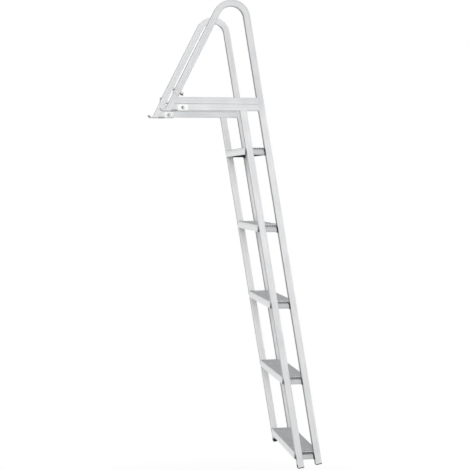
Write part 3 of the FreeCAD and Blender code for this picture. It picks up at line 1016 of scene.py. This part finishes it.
def galvanised_steel():
    """Hot-dipped sheet: grey crystals, darker stains and duller patches. Painted shade darkens it under
    the lower rail, and on the right bracket's toe."""
    shade, place = new_paint("galvanised_steel")
    crystals = shade.node("ShaderNodeTexVoronoi", output="Color", Vector=place, Scale=260.0)
    crystal = shade.node("ShaderNodeSeparateColor", _0=crystals)
    stain = noise(place, 45.0, detail=5.0, roughness=0.6)
    grain = noise(place, 1100.0, detail=2.0)
    way = place.part("X")
    # Painted shade under the lower rail and on the right bracket's toe.
    under_rail = band(way, rail_shade_start, rail_shade_end, rail_shade_fade)
    on_right = ramp(place.part("Y"), 0.0, frame_spacing)
    on_toe = ramp(way, toe_place, toe_place - toe_fade) * on_right
    darkened = (under_rail + on_toe) * plate_shade_share * (stain * 0.6 + 0.7)
    tone = mottled(0.3, (stain, 1.1), (grain, 0.3)) + crystal * 0.4
    colour = tinted(tone, *zinc_tones)
    colour = tinted(darkened, colour, plate_shade_black)
    rough = crystal * 0.12 + stain * 0.2 + 0.35
    return finished(shade, colour, rough, relief=grain + crystal, strength=0.12, depth=0.0004, Metallic=0.3)


plate_paint = galvanised_steel()
for side in ("left", "right"):
    repaint(side + "_deck_bracket", plate_paint)


# Cheeks of the deck brackets: two flat plates a side, white powder coated, that stand on the base
# plate beside the lower rail. Their upper corners are round and all their edges are eased.
plate_length = 0.098
cheek_length = 0.039
cheek_height = 0.021
cheek_thickness = 0.003
cheek_corner = 0.005
cheek_clearance = 0.0003
cheek_ease = 0.0006
cheek_steps = 9
ease_steps = 4
cheek_start = plate_length / 2 - cheek_length
cheek_inner = half_tube + cheek_clearance
cheek_outer = cheek_inner + cheek_thickness
splash_height = 0.008
powder_tones = ((0.97, 0.97, 0.965, 1.0), (0.78, 0.775, 0.76, 1.0))


def cheek_skin(y_low):
    """Upright plate with two round upper corners: one outline, drawn in by a quarter circle of the ease
    at both faces."""
    turn = np.linspace(0.0, math.pi / 2, cheek_steps)
    depth, inset = eased(cheek_ease, ease_steps)
    insets = np.concatenate([inset, inset[::-1]])[:, None]
    places = y_low + np.concatenate([depth, cheek_thickness - depth[::-1]])
    radius = cheek_corner - insets
    low = plate_thickness + 0 * insets
    high = plate_thickness + cheek_height - cheek_corner
    right_x = cheek_start + cheek_length - cheek_corner
    left_x = cheek_start + cheek_corner
    x = np.concatenate([cheek_start + cheek_length - insets, right_x + radius * np.cos(turn),
                        left_x - radius * np.sin(turn), cheek_start + insets], axis=1)
    z = np.concatenate([low, high + radius * np.sin(turn), high + radius * np.cos(turn), low], axis=1)
    return surface(carried(x, places, z))


def powder_white():
    """White powder coat: a soft orange-peel skin, a little grime low down and in cloudy patches."""
    shade, place = new_paint("powder_white")
    peel = noise(place, 800.0, detail=1.0)
    grime = noise(place, 90.0, detail=5.0, roughness=0.6)
    low_down = ramp(place.part("Z"), plate_thickness + splash_height, plate_thickness)
    darkened = ((grime - 0.45) * 2.5 + low_down * 0.4).clamp() * 0.5
    colour = tinted(darkened, *powder_tones)
    return finished(shade, colour, darkened * 0.2 + 0.34, relief=peel, strength=0.12, depth=0.0004)


cheek_paint = powder_white()
side_pieces("outer_cheek", [cheek_skin(-cheek_outer)], cheek_paint, "bracket_white")
side_pieces("inner_cheek", [cheek_skin(cheek_inner)], cheek_paint, "bracket_white")


# Bracket bolts: stainless hexagon bolts through cheeks and lower rail, with a washer under the head
# and the nut. The head and nut have turned chamfers, and a little thread shows past the nut.
bolt_radius = 0.004
bolt_inset = 0.0195
bolt_height = 0.013
bolt_head_width = 0.013
bolt_head_height = 0.0053
bolt_nut_height = 0.0065
bolt_tail = 0.003
washer_radius = 0.0075
washer_thickness = 0.001
washer_ease = 0.0002
thread_pitch = 0.00125
thread_depth = 0.0006
thread_chamfer = 0.0005
hex_sides = 6
chamfer_falls = np.array([0.001, 0.0006, 0.0002, 0.0])
chamfer_share = 0.955
chamfer_slope = 1.1
ring_points = 60
# The dock side of bolt heads and nuts is painted dark as shade from this far past the bolt's middle, fading in over
# this width.
head_shade_start = 0.0022
head_shade_fade = 0.0012
steel_tones = ((0.86, 0.858, 0.852, 1.0), (0.6, 0.59, 0.57, 1.0))
steel_dock_dark = (0.06, 0.055, 0.05, 1.0)
bolt_centre = np.array([cheek_start + bolt_inset, 0.0, bolt_height])
ring_turn = np.linspace(0.0, 2 * math.pi, ring_points, endpoint=False)


def turned(centre, axis, places, radii):
    """Rings about an axis: at each place along it a circle, or another outline given by its radii."""
    first = upright if abs(axis @ across) > 0.9 else unit(np.cross(axis, across))
    second = np.cross(axis, first)
    radii = np.broadcast_to(np.reshape(radii, (len(places), -1)), (len(places), ring_points))
    spokes = np.cos(ring_turn)[:, None] * first + np.sin(ring_turn)[:, None] * second
    return centre + places[:, None, None] * axis + radii[..., None] * spokes


def hexagon_skin(plain_end, chamfered_end):
    """Hexagonal prism along Y. Its radius is the hexagon's own, half the width over the cosine of the
    angle from the nearest flat, and at its chamfered end no more than a cone's. Its dock side is
    painted dark as shade."""
    from_flat = (ring_turn + math.pi / hex_sides) % (2 * math.pi / hex_sides) - math.pi / hex_sides
    flat = bolt_head_width / 2 / np.cos(from_flat)
    cone = bolt_head_width / 2 * chamfer_share + chamfer_falls * chamfer_slope
    places = np.concatenate([[0.0], abs(chamfered_end - plain_end) - chamfer_falls])
    radii = np.concatenate([flat[None, :], np.minimum(flat[None, :], cone[:, None])])
    way = across * np.sign(chamfered_end - plain_end)
    rings = turned(bolt_centre + across * plain_end, way, places, radii)
    # Painted shade on the dock side of head and nut.
    stain = np.clip((bolt_centre[0] - head_shade_start - rings[..., 0]) / head_shade_fade, 0.0, 1.0)
    return surface(rings, wear=stain)


def bolt_skins():
    """Head, nut, shank with its threaded tail, and two washers. The thread is a zigzag of the radius."""
    head = hexagon_skin(-cheek_outer - washer_thickness, -cheek_outer - bolt_head_height)
    nut = hexagon_skin(cheek_outer + washer_thickness, cheek_outer + bolt_nut_height)
    washer_places = np.array([0.0, washer_ease, washer_thickness - washer_ease, washer_thickness])
    washer_radii = washer_radius - np.array([washer_ease, 0.0, 0.0, washer_ease])
    washers = [surface(turned(bolt_centre + across * place, across, washer_places, washer_radii))
               for place in (-cheek_outer - washer_thickness, cheek_outer)]
    tail_start = cheek_outer + bolt_nut_height
    turns = np.arange(0.0, bolt_tail - thread_pitch / 2, thread_pitch / 2)
    zigzag = bolt_radius - thread_depth * (np.arange(len(turns)) % 2)
    end_places = tail_start + bolt_tail - np.array([thread_chamfer, 0.0])
    end_radii = bolt_radius - np.array([0.0, thread_chamfer])
    places = np.concatenate([[-cheek_outer, 0.0], tail_start + turns, end_places])
    radii = np.concatenate([[bolt_radius, bolt_radius], zigzag, end_radii])
    shank = surface(turned(bolt_centre, across, places, radii))
    return [head, nut, shank] + washers


def stainless():
    """Turned stainless steel: fine marks and faint tea-coloured spots. It is painted dark as shade on
    the dock side of bolt heads and nuts, and painted darker on the dock-side ends of pins and bails.
    """
    shade, place = new_paint("stainless")
    chart = shade.node("ShaderNodeUVMap", {"uv_map": "along"})
    worn = kept_wear(shade)
    marks = noise(chart, (40.0, 5200.0, 1.0), detail=2.0)
    stain = noise(place, 210.0, detail=4.0)
    stained = ((stain - 0.5) * 3.0).clamp() * 0.4
    colour = tinted(stained, *steel_tones)
    colour = tinted(worn * 0.85, colour, steel_dock_dark)
    rough = marks * 0.16 + 0.2 + stained * 0.25
    return finished(shade, colour, rough, relief=marks, strength=0.1, depth=0.0002, Metallic=1.0)


steel_paint = stainless()
side_pieces("bracket_bolt", bolt_skins(), steel_paint, "stainless_hardware")


# Lock pins: stainless pins across leg and stub, put in from the water side. A sprung wire bail is
# hinged in the ball on the pin's head, runs along the tube's outer face and snaps over the tip.
pin_radius = 0.004
pin_inset = 0.0135
pin_seat = 0.0001
pin_head_radius = 0.0065
pin_head_length = 0.0075
pin_tip = 0.006
pin_chamfer = 0.0013
pin_groove = 0.0004
# Share by which the dock-side ends of pin and bail are painted darker.
pin_dock_dark = 0.5
groove_width = 0.0018
groove_place = -0.0157
head_rim = 0.0012
rim_steps = 5
ball_radius = 0.0034
ball_reach = 0.0036
ball_start = math.radians(63)
ball_end = math.radians(171)
ball_steps = 12
wire_radius = 0.0013
wire_sides = 12
wire_steps = 10
# The bail's middle, and the knots of its lower half from the ball to the tip, counted from the pin's
# middle: along the pin, up the leg and across.
bail_middle = (0.003, 0.0, -0.005)
bail_knots = np.array([
    [0.0235, 0.0, 0.0], [0.0236, -0.0042, -0.0016], [0.0222, -0.0056, -0.0068],
    [0.0178, -0.0062, -0.0128], [0.0105, -0.0061, -0.0152], [-0.0105, -0.0061, -0.0152],
    [-0.0156, -0.0062, -0.0126], [-0.0166, -0.0061, -0.0075], [-0.0166, -0.006, -0.002],
    [-0.0164, -0.0043, 0.0036], [-0.0163, 0.0, 0.0057],
])
pin_centre = sleeve_end + leg_up * pin_inset
pin_axes = np.array([leg_face, leg_up, across])
head_seat = half_tube + pin_seat
head_end = head_seat + pin_head_length
tip_reach = half_tube + pin_tip
ball_place = head_end + ball_reach


def pin_skin():
    """Turned pin: chamfered tip, a shallow groove for the bail, shank, rimmed head, neck and ball."""
    rim_depth, rim_inset = eased(head_rim, rim_steps)
    ball_turn = np.linspace(ball_start, ball_end, ball_steps)
    places = np.concatenate([
        [-tip_reach, pin_chamfer - tip_reach],
        groove_place + np.array([-pin_groove, 0.0, groove_width, groove_width + pin_groove]),
        [head_seat - pin_seat],
        head_seat + rim_depth,
        head_end - rim_inset,
        ball_place - ball_radius * np.cos(ball_turn),
    ])
    radii = np.concatenate([
        [pin_radius - pin_chamfer, pin_radius],
        pin_radius - np.array([0.0, pin_groove, pin_groove, 0.0]),
        [pin_radius],
        pin_head_radius - rim_inset,
        pin_head_radius - rim_depth,
        ball_radius * np.sin(ball_turn),
    ])
    # The pin's end past the tube on the dock side is painted darker.
    tip_dark = np.where(places < -half_tube, pin_dock_dark, 0.0)
    return surface(turned(pin_centre, leg_face, places, radii), wear=tip_dark[:, None])


def smooth_loop(knots):
    """Closed curve through the knots: between two knots it is the cubic whose slope at each knot is half
    the step from the knot before to the knot after."""
    four = np.stack([np.roll(knots, step, axis=0) for step in (1, 0, -1, -2)], axis=1)
    cubic = np.array([[-1, 3, -3, 1], [2, -5, 4, -1], [-1, 0, 1, 0], [0, 2, 0, 0]]) / 2
    t = np.linspace(0.0, 1.0, wire_steps, endpoint=False)
    return (np.vander(t, 4) @ cubic @ four).reshape(-1, 3)


def bail_skin():
    """Round wire on a closed curve, whose upper half is the mirror image of the lower one."""
    high_half = bail_knots[1:-1][::-1] * np.array([1.0, -1.0, 1.0])
    own = smooth_loop(np.concatenate([bail_knots, high_half]))
    # The bail's wire past the tube on the dock side is painted darker.
    wear = np.where((own[:, 0] < -half_tube) & (own[:, 1] > 0.0), pin_dock_dark, 0.0)
    path = pin_centre + own @ pin_axes
    return round_skin(path, (own - bail_middle) @ pin_axes, wire_radius, wire_sides, wear=wear[:, None])


side_pieces("lock_pin", [pin_skin(), bail_skin()], steel_paint, "stainless_hardware")


# Bail grips: a short black rubber sleeve on each bail, pushed over the wire where it leaves the
# tube's face and curls round the pin's head. It gives fingers a hold to lift the bail by.
grip_radius = 0.0019
grip_steps = 24
grip_rounding = 8
grip_end = 0.04
grip_knots = np.array([[0.0108, -0.0058, -0.0152], [0.0145, -0.0036, -0.0142], [0.0185, -0.0022, -0.0118],
                       [0.0225, -0.0022, -0.0098], [0.0262, -0.0036, -0.0088]])


def grip_skin():
    """Circles on the cubic that comes nearest to the knots, which are counted as the bail's are. Their
    radius is the root of one less a high power of the way from the middle, so the ends are round."""
    t = np.linspace(0.0, 1.0, grip_steps)
    own = np.vander(t, 4) @ np.polyfit(np.linspace(0.0, 1.0, len(grip_knots)), grip_knots, 3)
    girth = grip_radius * np.sqrt(np.clip(1 - (2 * t - 1) ** grip_rounding, grip_end, 1.0))
    return round_skin(pin_centre + own @ pin_axes, leg_up, girth, wire_sides, loop=False)


side_pieces("bail_grip", [grip_skin()], black_paint, "black_cap", replaces=False)


size_rows = {"cad": [list(corner) for corner in cad_box], "scene": [list(corner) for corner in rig.bounds()]}
json.dump(size_rows, open("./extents.json", "w"))
